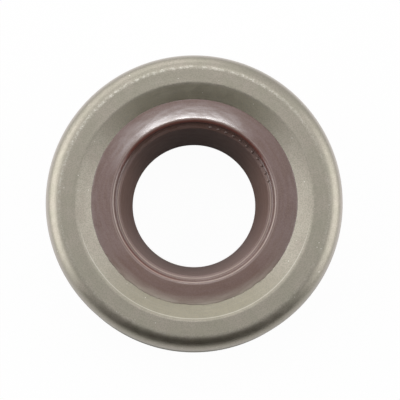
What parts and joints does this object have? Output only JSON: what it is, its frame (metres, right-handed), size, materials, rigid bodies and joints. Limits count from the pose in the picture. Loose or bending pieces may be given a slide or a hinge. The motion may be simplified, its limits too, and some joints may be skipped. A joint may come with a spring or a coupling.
{
  "type": "rotary shaft oil seal",
  "caption": "Metal-cased rotary shaft seal: a pressed steel ring with a bonded brown rubber lip that a garter spring holds against the shaft.",
  "frame": {"origin": "on the shaft's axis, in the plane of the open rim that the seal lies on", "axes": "+Z along the shaft's axis, from the open oil side to the closed steel face; X and Y are radii"},
  "size_m": [0.022, 0.022, 0.007],
  "materials": {
    "case_steel": "satin grey-green pressed steel",
    "seal_rubber": "satin brown moulded rubber",
    "spring_steel": "bright drawn wire"
  },
  "bodies": {
    "root": {"outer_case": "case_steel", "sealing_lip": "seal_rubber", "garter_spring": "spring_steel"}
  },
  "joints": []
}
